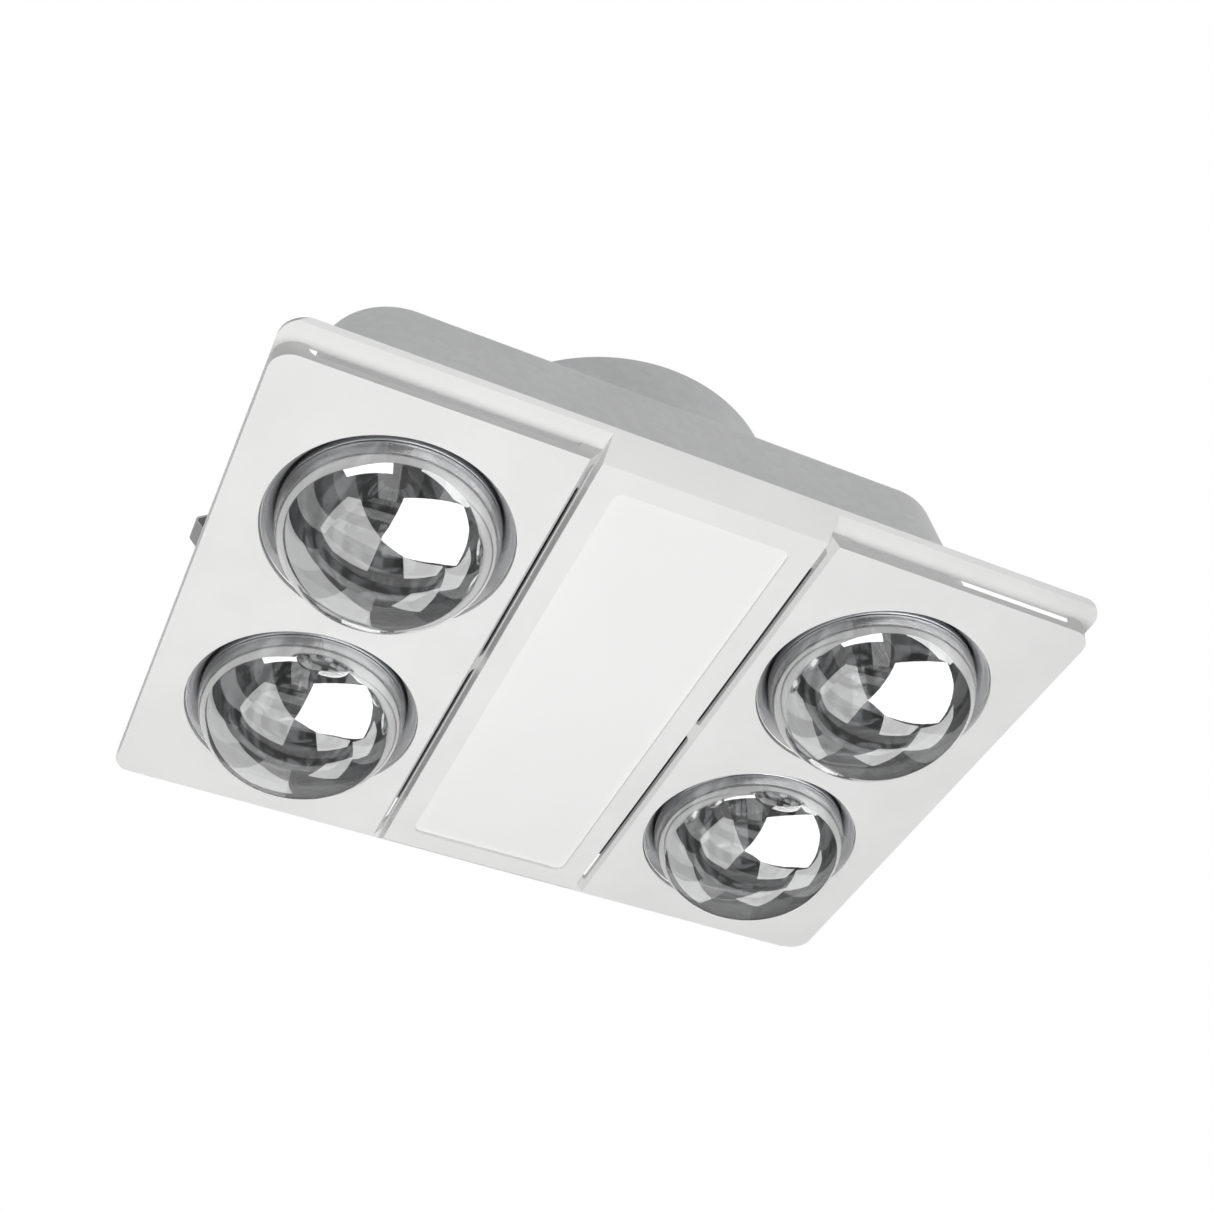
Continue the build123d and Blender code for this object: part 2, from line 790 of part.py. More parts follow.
# Fan drum
throat_floor = housing_height + throat_lift
throat_middle_z = throat_floor + throat_height / 2
spigot_z = housing_height + spigot_lift
with BuildPart() as drum:
    with BuildSketch(Plane.XY.offset(housing_height)):
        with Locations((drum_offset, 0)):
            Circle(drum_radius)
    extrude(amount=drum_height)
    fillet(drum.edges().group_by(Axis.Z)[-1], drum_edge)
    with BuildSketch(Plane.XY.offset(housing_height)):
        with drum_tab_places:
            with Locations((drum_tab_hole_inset - drum_tab_reach, 0)):
                RectangleRounded(2 * drum_tab_reach, drum_tab_width, drum_tab_hole_inset)
    extrude(amount=drum_sheet)
    with BuildSketch(Plane.XY.offset(housing_height)):
        with Locations((drum_offset, 0)):
            Circle(drum_radius - drum_sheet)
    extrude(amount=drum_height - drum_sheet, mode=Mode.SUBTRACT)
    with BuildSketch(Plane.XZ):
        with Locations((throat_x, throat_middle_z)):
            RectangleRounded(throat_width - 2 * duct_wall, throat_height - 2 * duct_wall, throat_corner)
    extrude(amount=-throat_end_y, mode=Mode.SUBTRACT)
    with BuildSketch(Plane.XY.offset(housing_height - overrun)):
        with drum_tab_places:
            Circle(screw_shank_radius)
    extrude(amount=drum_sheet + 2 * overrun, mode=Mode.SUBTRACT)
finish(drum.part, "fan_drum")

# Inlet ring, curled up towards the impeller
with BuildPart() as inlet_ring:
    with BuildSketch(Plane.XZ):
        with BuildLine():
            curl_centre = (inlet_radius + inlet_curl, housing_height + inlet_sheet + inlet_curl)
            inner_arc = CenterArc(curl_centre, inlet_curl, half_turn, quarter_turn)
            outer_arc = CenterArc(curl_centre, inlet_curl + inlet_sheet, half_turn, quarter_turn)
            Polyline(
                inner_arc @ 1,
                (inlet_flange_radius, housing_height + inlet_sheet),
                (inlet_flange_radius, housing_height),
                outer_arc @ 1,
            )
            Line(inner_arc @ 0, outer_arc @ 0)
        make_face()
    revolve(axis=Axis.Z)
finish(inlet_ring.part, "inlet_ring")

# Impeller: back plate with a cone, curved blades, shroud ring and hub
impeller_floor = housing_height + inlet_sheet + inlet_curl + impeller_gap
impeller_top = impeller_floor + impeller_height
blade_inner = impeller_radius - blade_depth
with BuildPart() as impeller:
    with BuildSketch(Plane.XY.offset(impeller_top - impeller_sheet)):
        Circle(impeller_radius)
    extrude(amount=impeller_sheet)
    with BuildSketch(Plane.XY.offset(impeller_floor)):
        Circle(impeller_radius)
        Circle(blade_inner, mode=Mode.SUBTRACT)
    extrude(amount=impeller_sheet)
    with BuildSketch(Plane.XY.offset(impeller_floor)):
        with PolarLocations(0, blade_count):
            with BuildLine():
                blade_foot = (blade_inner + impeller_sheet / 2, 0)
                blade_tip = (impeller_radius - impeller_sheet / 2, blade_sweep)
                blade_arc = RadiusArc(blade_foot, blade_tip, -blade_bow_radius)
                offset(blade_arc, amount=blade_thickness / 2, side=Side.BOTH)
            make_face()
    extrude(amount=impeller_height - impeller_sheet / 2)
    with BuildSketch(Plane.XZ):
        with BuildLine():
            Polyline(
                (0, impeller_top - impeller_sheet / 2),
                (0, impeller_top - hub_height),
                (hub_radius, impeller_top - hub_height),
                (hub_radius, impeller_top - hub_height / 2),
                (cone_radius, impeller_top - impeller_sheet / 2),
                close=True,
            )
        make_face()
    revolve(axis=Axis.Z)
    with BuildSketch(Plane.XY.offset(impeller_top - hub_height - overrun)):
        Circle(shaft_radius)
    extrude(amount=hub_height + 2 * overrun, mode=Mode.SUBTRACT)
finish(impeller.part, "impeller")

# Motor, shaft and nut
motor_top = housing_height - motor_drop
motor_floor = motor_top - motor_height
shaft_end_z = impeller_top + nut_height + shaft_chamfer
with BuildPart() as motor:
    with BuildSketch(Plane.XY.offset(motor_floor)):
        Circle(motor_radius)
    extrude(amount=motor_height)
    fillet(motor.edges().group_by(Axis.Z)[0] + motor.edges().group_by(Axis.Z)[-1], motor_edge)
    with BuildSketch(Plane.XY.offset(motor_floor + (motor_height - motor_band_height) / 2)):
        Circle(motor_radius + motor_band_thickness)
    extrude(amount=motor_band_height)
    with BuildSketch(Plane.XY.offset(motor_floor - overrun)):
        with PolarLocations(motor_vent_pitch_radius, motor_vent_count):
            Circle(motor_vent_radius)
    extrude(amount=motor_edge + overrun, mode=Mode.SUBTRACT)
    with BuildSketch(Plane.XY.offset(motor_floor - overrun)):
        Circle(shaft_radius + shaft_clearance)
    extrude(amount=motor_height + 2 * overrun, mode=Mode.SUBTRACT)
finish(motor.part, "motor")

with BuildPart() as shaft:
    with BuildSketch(Plane.XY.offset(motor_floor - shaft_tail)):
        Circle(shaft_radius)
    extrude(amount=shaft_end_z - motor_floor + shaft_tail)
    chamfer(shaft.edges().filter_by(GeomType.CIRCLE), shaft_chamfer)
finish(shaft.part, "motor_shaft")

with BuildPart() as nut:
    with BuildSketch(Plane.XY.offset(impeller_top)):
        RegularPolygon(nut_width / 2, 6, major_radius=False)
        Circle(shaft_radius, mode=Mode.SUBTRACT)
    extrude(amount=nut_height)
finish(nut.part, "hub_nut")

# Motor bracket: a plate on the motor and three arms up to the roof
arm_rise_z = roof_under - arm_sheet
with BuildPart() as motor_bracket:
    with BuildSketch(Plane.XY.offset(motor_top)):
        Circle(arm_plate_radius)
    extrude(amount=arm_sheet)
    with BuildSketch(Plane.XZ.offset(-arm_width / 2)):
        with BuildLine():
            Polyline(
                (arm_plate_radius - arm_width, motor_top),
                (motor_radius, motor_top),
                (arm_foot_radius - arm_foot_length, arm_rise_z),
                (arm_foot_radius, arm_rise_z),
                (arm_foot_radius, roof_under),
                (arm_foot_radius - arm_foot_length - arm_sheet, roof_under),
                (motor_radius - arm_sheet, motor_top + arm_sheet),
                (arm_plate_radius - arm_width, motor_top + arm_sheet),
                close=True,
            )
        make_face()
    extrude(amount=arm_width)
    one_arm = motor_bracket.part
    arm_step = 2 * half_turn / arm_count
    add([one_arm.rotate(Axis.Z, step * arm_step) for step in range(1, arm_count)])
    with BuildSketch(Plane.XY.offset(motor_top - overrun)):
        Circle(arm_plate_hole)
    extrude(amount=arm_sheet + 2 * overrun, mode=Mode.SUBTRACT)
    with BuildSketch(Plane.XY.offset(arm_rise_z - overrun)):
        with PolarLocations(arm_screw_radius, arm_count):
            Circle(screw_shank_radius)
    extrude(amount=arm_sheet + 2 * overrun, mode=Mode.SUBTRACT)
finish(motor_bracket.part.rotate(Axis.Z, quarter_turn), "motor_bracket")

# Capacitor under the roof, and its clip
capacitor_z = roof_under - clip_band_sheet - capacitor_radius - capacitor_drop
with BuildPart() as capacitor:
    with BuildSketch(Plane.YZ.offset(-capacitor_length / 2)):
        with Locations((-capacitor_y, capacitor_z)):
            Circle(capacitor_radius)
    extrude(amount=capacitor_length)
    fillet(capacitor.edges().filter_by(GeomType.CIRCLE), capacitor_edge)
finish(capacitor.part, "capacitor")

with BuildPart() as capacitor_clip:
    with BuildSketch(Plane.YZ.offset(-clip_band_width / 2)):
        with Locations((-capacitor_y, capacitor_z)):
            Circle(capacitor_radius + clip_band_sheet)
        with Locations((-capacitor_y, (capacitor_z + roof_under) / 2)):
            Rectangle(2 * (capacitor_radius + clip_band_sheet), roof_under - capacitor_z)
        with Locations((-capacitor_y, roof_under - clip_band_sheet / 2)):
            Rectangle(2 * (capacitor_radius + clip_band_foot), clip_band_sheet)
        with Locations((-capacitor_y, capacitor_z)):
            Circle(capacitor_radius, mode=Mode.SUBTRACT)
        with Locations((-capacitor_y, (capacitor_z + roof_under) / 2)):
            Rectangle(2 * capacitor_radius, roof_under - capacitor_z, mode=Mode.SUBTRACT)
    extrude(amount=clip_band_width)
finish(capacitor_clip.part, "capacitor_clip")


# Outlet duct and spigot
def duct_throat(y, inset):
    """Rounded rectangular section of the duct at y, drawn in by the wall."""
    with BuildSketch(Plane.XZ.offset(-y)) as section:
        with Locations((throat_x, throat_middle_z)):
            RectangleRounded(throat_width - 2 * inset, throat_height - 2 * inset, throat_corner)
    return section.sketch.face()


def duct_round(y, inset):
    """Round section of the duct at y, drawn in by the wall."""
    with BuildSketch(Plane.XZ.offset(-y)) as section:
        with Locations((throat_x, spigot_z)):
            Circle(spigot_radius - inset)
    return section.sketch.face()


with BuildPart() as duct_inside:
    extrude(duct_throat(0, duct_wall), amount=-throat_end_y)
    loft([duct_throat(throat_end_y, duct_wall), duct_round(spigot_start_y, duct_wall)])
    extrude(duct_round(spigot_start_y, duct_wall), amount=spigot_start_y - spigot_end_y - overrun)

with BuildPart() as outlet_duct:
    extrude(duct_throat(0, 0), amount=-throat_end_y)
    loft([duct_throat(throat_end_y, 0), duct_round(spigot_start_y, 0)])
    extrude(duct_round(spigot_start_y, 0), amount=spigot_start_y - spigot_end_y)
    add(duct_inside.part, mode=Mode.SUBTRACT)
    with BuildSketch(Plane.XY.offset(housing_height)):
        with Locations((drum_offset, 0)):
            Circle(drum_radius)
    extrude(amount=drum_height, mode=Mode.SUBTRACT)
    with BuildSketch(Plane.XZ.offset(-stop_ring_y)):
        with Locations((throat_x, spigot_z)):
            Circle(spigot_radius - duct_wall / 2)
            Circle(spigot_radius - duct_wall - stop_ring_width, mode=Mode.SUBTRACT)
    extrude(amount=-stop_ring_thickness)
    pin_y = stop_ring_y + stop_ring_thickness + flap_seat_gap + flap_thickness
    pin_y += flap_knuckle_gap + flap_knuckle_radius
    with BuildSketch(Plane.XY.offset(spigot_z - spigot_radius - overrun)):
        with Locations((throat_x, pin_y)):
            Circle(flap_pin_radius)
    extrude(amount=2 * (spigot_radius + overrun), mode=Mode.SUBTRACT)
finish(outlet_duct.part, "outlet_duct")

# Flap pin, and two half-round flaps with interleaved knuckles
with BuildPart() as flap_pin:
    with BuildSketch(Plane.XY.offset(spigot_z - spigot_radius)):
        with Locations((throat_x, pin_y)):
            Circle(flap_pin_radius)
    extrude(amount=2 * spigot_radius)
finish(flap_pin.part, "flap_pin")

flap_radius = spigot_radius - duct_wall - flap_clearance
plate_y = stop_ring_y + stop_ring_thickness + flap_seat_gap
knuckle_step = flap_knuckle_length + flap_joint_gap
knuckle_floor = spigot_z - flap_knuckle_count * knuckle_step / 2 + flap_joint_gap / 2
for side, sign in sides.items():
    with BuildPart() as flap:
        with BuildSketch(Plane.XZ.offset(-plate_y)):
            with Locations((throat_x, spigot_z)):
                Circle(flap_radius)
            with Locations((throat_x + sign * (flap_middle_gap / 2 - flap_radius), spigot_z)):
                Rectangle(2 * flap_radius, 2 * flap_radius, mode=Mode.SUBTRACT)
        extrude(amount=-flap_thickness)
        for step in range(flap_knuckle_count):
            if step % 2 == (sign > 0):
                knuckle_z = knuckle_floor + step * knuckle_step
                with BuildSketch(Plane.XY.offset(knuckle_z)):
                    with Locations((throat_x, pin_y)):
                        Circle(flap_knuckle_radius)
                    web_x = throat_x + sign * (flap_knuckle_radius - flap_web_inset)
                    with Locations((web_x, (plate_y + pin_y) / 2)):
                        Rectangle(flap_web_thickness, pin_y - plate_y)
                    with Locations((throat_x, pin_y)):
                        Circle(flap_pin_radius + flap_pin_clearance, mode=Mode.SUBTRACT)
                extrude(amount=flap_knuckle_length)
    finish(flap.part, f"flap_{side}")

# Terminal box, lid, terminal block and cable gland
box_floor = housing_height
box_top = box_floor + box_height
with BuildPart() as terminal_box:
    with BuildSketch(Plane.XY.offset(box_floor)):
        with Locations((box_centre_x, box_y)):
            RectangleRounded(box_length, box_width, box_corner)
    extrude(amount=box_height)
    with BuildSketch(Plane.XY.offset(box_floor + box_wall)):
        with Locations((box_centre_x, box_y)):
            RectangleRounded(box_length - 2 * box_wall, box_width - 2 * box_wall, box_corner - box_wall)
    extrude(amount=box_height, mode=Mode.SUBTRACT)
    with BuildSketch(Plane.YZ.offset(gland_face_x - overrun)):
        with Locations((box_y, box_floor + gland_z)):
            Circle(gland_thread_radius)
    extrude(amount=box_wall + 2 * overrun, mode=Mode.SUBTRACT)
    with BuildSketch(Plane.XY.offset(box_floor - overrun)):
        with Locations((box_centre_x, box_y)):
            Circle(gland_thread_radius)
    extrude(amount=box_wall + 2 * overrun, mode=Mode.SUBTRACT)
finish(terminal_box.part, "terminal_box")

post_inset = box_wall + box_post_clearance + box_post_radius
post_pitch_x = box_length - 2 * post_inset
post_pitch_y = box_width - 2 * post_inset
with BuildPart() as box_posts:
    with BuildSketch(Plane.XY.offset(box_floor + box_wall)):
        with Locations((box_centre_x, box_y)):
            with GridLocations(post_pitch_x, post_pitch_y, 2, 2):
                Circle(box_post_radius)
                Circle(screw_shank_radius, mode=Mode.SUBTRACT)
    extrude(amount=box_height - box_wall - lid_lip_depth)
finish(box_posts.part, "box_posts")

with BuildPart() as terminal_lid:
    with BuildSketch(Plane.XY.offset(box_top)):
        with Locations((box_centre_x, box_y)):
            RectangleRounded(box_length, box_width, box_corner)
            with GridLocations(post_pitch_x, post_pitch_y, 2, 2):
                Circle(screw_shank_radius, mode=Mode.SUBTRACT)
    extrude(amount=lid_thickness)
    with BuildSketch(Plane.XY.offset(box_top - lid_lip_depth + lid_clearance)):
        lip_inset = 2 * (box_wall + lid_clearance)
        with Locations((box_centre_x, box_y)):
            RectangleRounded(box_length - lip_inset, box_width - lip_inset, box_corner - box_wall)
            RectangleRounded(
                box_length - lip_inset - 2 * lid_lip,
                box_width - lip_inset - 2 * lid_lip,
                box_corner - box_wall,
                mode=Mode.SUBTRACT,
            )
            with GridLocations(post_pitch_x, post_pitch_y, 2, 2):
                Circle(screw_shank_radius, mode=Mode.SUBTRACT)
    extrude(amount=lid_lip_depth - lid_clearance)
finish(terminal_lid.part, "terminal_lid")

block_y = box_y - box_width / 2 + box_wall + 2 * box_corner + terminal_length / 2
with BuildPart() as terminal_block:
    with BuildSketch(Plane.XY.offset(box_floor + box_wall)):
        with Locations((box_centre_x, block_y)):
            Rectangle(terminal_count * terminal_pitch, terminal_length)
    extrude(amount=terminal_height / 2)
    with BuildSketch(Plane.XY.offset(box_floor + box_wall)):
        with Locations((box_centre_x, block_y)):
            with GridLocations(terminal_pitch, 0, terminal_count, 1):
                RectangleRounded(terminal_width, terminal_length, box_wall)
    extrude(amount=terminal_height)
    with BuildSketch(Plane.XY.offset(box_floor + box_wall + terminal_height / 2)):
        with Locations((box_centre_x, block_y)):
            with GridLocations(terminal_pitch, terminal_length / 2, terminal_count, 2):
                Circle(terminal_hole_radius)
    extrude(amount=terminal_height, mode=Mode.SUBTRACT)
finish(terminal_block.part, "terminal_block")

with BuildPart() as gland:
    gland_plane = Plane(
        origin=(gland_face_x, box_y, box_floor + gland_z), x_dir=(0, 1, 0), z_dir=(-1, 0, 0)
    )
    with BuildSketch(gland_plane):
        RegularPolygon(gland_hex_width / 2, 6, major_radius=False)
    extrude(amount=gland_hex_length)
    with BuildSketch(gland_plane.offset(gland_hex_length)):
        Circle(gland_dome_radius)
    with BuildSketch(gland_plane.offset(gland_hex_length + gland_dome_length)):
        Circle(gland_mouth_radius)
    loft()
    with BuildSketch(gland_plane.offset(-box_wall - gland_nut_length)):
        Circle(gland_thread_radius)
    extrude(amount=box_wall + gland_nut_length)
    with BuildSketch(gland_plane.offset(-box_wall - gland_nut_length)):
        RegularPolygon(gland_hex_width / 2, 6, major_radius=False)
    extrude(amount=gland_nut_length)
    with BuildSketch(gland_plane.offset(-box_wall - gland_nut_length - overrun)):
        Circle(gland_bore_radius)
    gland_length = box_wall + gland_nut_length + gland_hex_length + gland_dome_length
    extrude(amount=gland_length + 2 * overrun, mode=Mode.SUBTRACT)
finish(gland.part, "cable_gland")

# Screws: one domed head on a short shank, placed in the roof, the drum and the lid
with BuildPart() as screw:
    with BuildSketch(Plane.XY.offset(-screw_shank_length)):
        Circle(screw_shank_radius)
    extrude(amount=screw_shank_length)
    with BuildSketch():
        Circle(screw_head_radius)
    extrude(amount=screw_head_height)
    fillet(screw.edges().group_by(Axis.Z)[-1], screw_head_height / 2)

lid_places = GridLocations(post_pitch_x, post_pitch_y, 2, 2)
screw_seats = [
    (Pos(0, 0, housing_height), arm_places),
    (Pos(0, 0, housing_height), strap_places),
    (Pos(0, 0, housing_height + drum_sheet), drum_tab_places),
    (Pos(box_centre_x, box_y, box_top + lid_thickness), lid_places),
]
with BuildPart() as screws:
    with Locations(*[seat * spot for seat, places in screw_seats for spot in places.locations]):
        add(screw.part)
finish(screws.part, "case_screws")

# Catches: bracket, pin and swinging leaf at each short end, made for the left end
pin_x = -(end_wall_x(catch_pin_z) + catch_pin_offset)
tip_x = -(fascia_length / 2 + catch_tip_overhang) + catch_sheet / 2
ear_inner = catch_width / 2 + catch_side_gap
ear_outer = ear_inner + catch_sheet
plate_top = catch_pin_z + catch_plate_height / 2
plate_floor = catch_pin_z - catch_plate_height / 2
leaf_slope = (pin_x - tip_x) / (catch_pin_z - catch_tip_z)
leaf_tilt = hypot(1, leaf_slope)
stop_z = catch_pin_z - catch_stop_drop
stop_x = pin_x - leaf_slope * catch_stop_drop + (catch_sheet / 2 + catch_stop_gap) * leaf_tilt
knuckle_radius = catch_pin_radius + catch_pin_clearance + catch_sheet
with BuildPart() as catch_bracket:
    with BuildSketch(Plane.XZ.offset(-catch_y - ear_outer)):
        with BuildLine():
            Polyline(
                (-end_wall_x(plate_floor), plate_floor),
                (-end_wall_x(plate_top), plate_top),
                (-end_wall_x(plate_top) - catch_sheet, plate_top),
                (-end_wall_x(plate_floor) - catch_sheet, plate_floor),
                close=True,
            )
        make_face()
    extrude(amount=2 * ear_outer)
    # Stop: a shelf under the leaf's upper leg
    with BuildSketch(Plane.XZ.offset(-catch_y - catch_width / 2)):
        with BuildLine():
            Polyline(
                (-end_wall_x(stop_z), stop_z),
                (stop_x, stop_z),
                (stop_x, stop_z - catch_sheet),
                (-end_wall_x(stop_z - catch_sheet), stop_z - catch_sheet),
                close=True,
            )
        make_face()
    extrude(amount=catch_width)
    for start in (-ear_outer, ear_inner):
        with BuildSketch(Plane.XZ.offset(start - catch_y)):
            with BuildLine():
                Polyline(
                    (-end_wall_x(plate_floor), plate_floor),
                    (-end_wall_x(plate_top), plate_top),
                    (pin_x, catch_pin_z + catch_ear_radius),
                    (pin_x, catch_pin_z - catch_ear_radius),
                    close=True,
                )
            make_face()
            with Locations((pin_x, catch_pin_z)):
                Circle(catch_ear_radius)
                Circle(catch_pin_radius, mode=Mode.SUBTRACT)
        extrude(amount=catch_sheet)

with BuildPart() as catch_pin:
    with BuildSketch(Plane.XZ.offset(-catch_y - ear_outer)):
        with Locations((pin_x, catch_pin_z)):
            Circle(catch_pin_radius)
    extrude(amount=2 * ear_outer)
    for start in (-ear_outer - catch_pin_head_height, ear_outer):
        with BuildSketch(Plane.XZ.offset(start - catch_y)):
            with Locations((pin_x, catch_pin_z)):
                Circle(catch_pin_head_radius)
        extrude(amount=catch_pin_head_height)

with BuildPart() as catch_arm:
    with BuildSketch(Plane.XZ.offset(-catch_y - catch_width / 2)):
        with BuildLine():
            leaf = FilletPolyline(
                (pin_x, catch_pin_z),
                (tip_x, catch_tip_z),
                (tip_x + catch_foot_run, catch_foot_z + catch_sheet / 2),
                (tip_x + catch_foot_run + catch_toe, catch_foot_z + catch_sheet / 2 + catch_toe),
                radius=catch_bend_radius,
            )
            offset(leaf, amount=catch_sheet / 2, side=Side.BOTH)
        make_face()
        with Locations((pin_x, catch_pin_z)):
            Circle(knuckle_radius)
            Circle(catch_pin_radius + catch_pin_clearance, mode=Mode.SUBTRACT)
    extrude(amount=catch_width)

finish(catch_bracket.part, "catch_bracket_left")
finish(catch_pin.part, "catch_pin_left")
finish(catch_arm.part, "catch_arm_left")
finish(catch_bracket.part.rotate(Axis.Z, half_turn), "catch_bracket_right")
finish(catch_pin.part.rotate(Axis.Z, half_turn), "catch_pin_right")
finish(catch_arm.part.rotate(Axis.Z, half_turn), "catch_arm_right")
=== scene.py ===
from math import pi

import bmesh
import bpy
import numpy as np
from mathutils import Matrix, Vector


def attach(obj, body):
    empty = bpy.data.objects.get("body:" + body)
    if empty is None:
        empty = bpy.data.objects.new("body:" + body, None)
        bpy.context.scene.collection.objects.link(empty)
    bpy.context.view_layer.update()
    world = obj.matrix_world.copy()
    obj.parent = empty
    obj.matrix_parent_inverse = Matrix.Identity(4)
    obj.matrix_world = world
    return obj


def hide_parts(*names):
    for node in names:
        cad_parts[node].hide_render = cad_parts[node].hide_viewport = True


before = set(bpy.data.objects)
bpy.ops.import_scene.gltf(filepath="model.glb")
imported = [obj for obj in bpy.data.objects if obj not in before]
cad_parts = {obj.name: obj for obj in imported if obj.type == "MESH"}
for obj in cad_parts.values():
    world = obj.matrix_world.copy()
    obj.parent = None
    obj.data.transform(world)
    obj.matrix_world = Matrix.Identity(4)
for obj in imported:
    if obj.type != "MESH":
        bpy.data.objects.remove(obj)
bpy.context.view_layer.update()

# Housing: an open-bottomed box pressed from galvanised steel sheet about 1 mm thick, leaning
# in towards its roof. Four small angles welded to its ends turn out at the ceiling line.
# Its zinc is a cool grey with faint crystals and slow cloudy patches.


class Feed:
    """One output of a material's nodes; adding or scaling it adds Math nodes."""

    def __init__(self, finish, socket):
        self.finish = finish
        self.socket = socket

    def joined(self, operation, other):
        return self.finish.node("Math", {"operation": operation}, {0: self, 1: other})

    def __add__(self, other):
        return self.joined("ADD", other)

    def __mul__(self, other):
        return self.joined("MULTIPLY", other)

    __radd__ = __add__
    __rmul__ = __mul__


class Finish:
    """A named surface finish: one Principled shader and the nodes that vary it over a piece."""

    def __init__(self, name, colour, rough, metal=0.0, **sockets):
        self.material = bpy.data.materials.new(name)
        self.material.use_nodes = True
        self.tree = self.material.node_tree
        self.shader = self.tree.nodes["Principled BSDF"]
        plain = {"Base Color": (*colour, 1), "Roughness": rough, "Metallic": metal}
        for socket, value in (plain | sockets).items():
            self.shader.inputs[socket.replace("_", " ")].default_value = value
        self.place = self.node("TexCoord", out="Object")

    def node(self, kind, settings=None, feeds=None, out=0):
        """Adds a node: its settings first, then the values or links of its sockets."""
        made = self.tree.nodes.new("ShaderNode" + kind)
        for key, value in (settings or {}).items():
            setattr(made, key, value)
        for key, value in (feeds or {}).items():
            if isinstance(value, Feed):
                self.tree.links.new(value.socket, made.inputs[key])
            else:
                made.inputs[key].default_value = value
        return Feed(self, made.outputs[out])

    def feed(self, **sockets):
        """Links feeds to the shader's sockets, whose spaces are written as underscores."""
        for socket, value in sockets.items():
            self.tree.links.new(value.socket, self.shader.inputs[socket.replace("_", " ")])
        return self

    def cloud(self, size, detail=2.0, stretch=(1, 1, 1)):
        """Noise with patches about size metres across, 0 to 1, stretched along the axes."""
        vector = self.node("Mapping", {}, {"Vector": self.place, "Scale": stretch})
        return self.node("TexNoise", {}, {"Vector": vector, "Scale": 1 / size, "Detail": detail})

    def blend(self, pattern, dark, light):
        """Colour between two colours, where the pattern goes from 0 to 1."""
        ends = {0: pattern, 6: (*dark, 1), 7: (*light, 1)}
        return self.node("Mix", {"data_type": "RGBA"}, ends, out=2)

    def spread(self, pattern, low, high, bottom=0.0, top=1.0):
        """A number stretched from low..high to bottom..top, held at the ends."""
        ends = {"Value": pattern, "From Min": low, "From Max": high, "To Min": bottom}
        return self.node("MapRange", {}, {**ends, "To Max": top})

    def bump(self, height, depth, strength):
        """Normal from a height of 0 to 1 that stands for depth metres."""
        return self.node("Bump", {}, {"Height": height, "Distance": depth, "Strength": strength})

    def colour_over(self, pattern, dark, light):
        """Lets the colour follow a pattern between two colours."""
        return self.feed(Base_Color=self.blend(pattern, dark, light))

    def rough_over(self, pattern, low, high):
        """Lets the roughness follow the middle of a pattern's range between two values."""
        return self.feed(Roughness=self.spread(pattern, 0.3, 0.7, low, high))


def dress(finish, *names):
    """Gives CAD nodes a finish."""
    for name in names:
        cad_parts[name].material_slots[0].material = finish.material


def zinc_sheet(name, dark, light, rough, metal):
    """Galvanised sheet: crystals a few millimetres across over slow clouds, and roll marks."""
    crystals_per_metre = 160.0
    crystal_share = 0.35
    finish = Finish(name, light, rough, metal)
    placed = {"Vector": finish.place, "Scale": crystals_per_metre}
    crystals = finish.node("TexVoronoi", {}, placed, out="Color")
    crystal = finish.node("SeparateColor", {}, {0: crystals}, out="Red")
    patches = finish.cloud(0.06, detail=3)
    tone = finish.spread(crystal * crystal_share + patches * (1 - crystal_share), 0.25, 0.75)
    finish.colour_over(tone, dark, light)
    finish.feed(Roughness=finish.spread(crystal, 0, 1, rough - 0.05, rough + 0.08))
    roll_marks = finish.cloud(0.004, detail=3)
    return finish.feed(Normal=finish.bump(roll_marks, depth=0.00004, strength=0.35))


zinc_dark, zinc_light = (0.66, 0.665, 0.675), (0.755, 0.76, 0.765)
zinc = zinc_sheet("galvanised_sheet", zinc_dark, zinc_light, rough=0.48, metal=0.2)
dress(zinc, "housing", "ceiling_lugs", "fan_drum", "inlet_ring", "outlet_duct", "motor_bracket")
dress(zinc, "holder_bracket_left", "holder_bracket_right", "capacitor_clip")
dress(zinc, "catch_bracket_left", "catch_bracket_right")

# Motor: a shaded can with black enamel, its vents punched in the floor, and a steel shaft
# through its middle that carries the impeller and a hexagon nut.

enamel = Finish("black_enamel", (0.035, 0.035, 0.038), 0.4, Coat_Weight=0.3)
enamel.feed(Normal=enamel.bump(enamel.cloud(0.0012), depth=0.00003, strength=0.4))
enamel.colour_over(enamel.cloud(0.02), (0.03, 0.03, 0.033), (0.045, 0.045, 0.048))
dress(enamel, "motor")

turned_steel = Finish("turned_steel", (0.5, 0.5, 0.51), 0.3, metal=0.95)
lathe_marks = turned_steel.cloud(0.003, stretch=(1, 1, 8))
turned_steel.rough_over(lathe_marks, 0.22, 0.4)
turned_steel.colour_over(lathe_marks, (0.44, 0.44, 0.45), (0.56, 0.56, 0.57))
dress(turned_steel, "motor_shaft", "hub_nut", "flap_pin", "catch_pin_left", "catch_pin_right")

# Impeller: forward-curved blades moulded with their back plate in off-white plastic.
# The flaps, the terminal box with its block and gland, the capacitor's case and the driver's
# case are mouldings of much the same kind.


def moulded(name, colour, rough, grain=0.0008, depth=0.00002, **sockets):
    """Moulded plastic: a fine spark-eroded grain and slow, faint changes of tone."""
    finish = Finish(name, colour, rough, **sockets)
    darker = tuple(0.955 * channel for channel in colour)
    finish.colour_over(finish.spread(finish.cloud(0.05), 0.3, 0.7), darker, colour)
    texture = finish.cloud(grain)
    finish.feed(Roughness=finish.spread(texture, 0.2, 0.8, rough - 0.04, rough + 0.06))
    return finish.feed(Normal=finish.bump(texture, depth, strength=0.5))


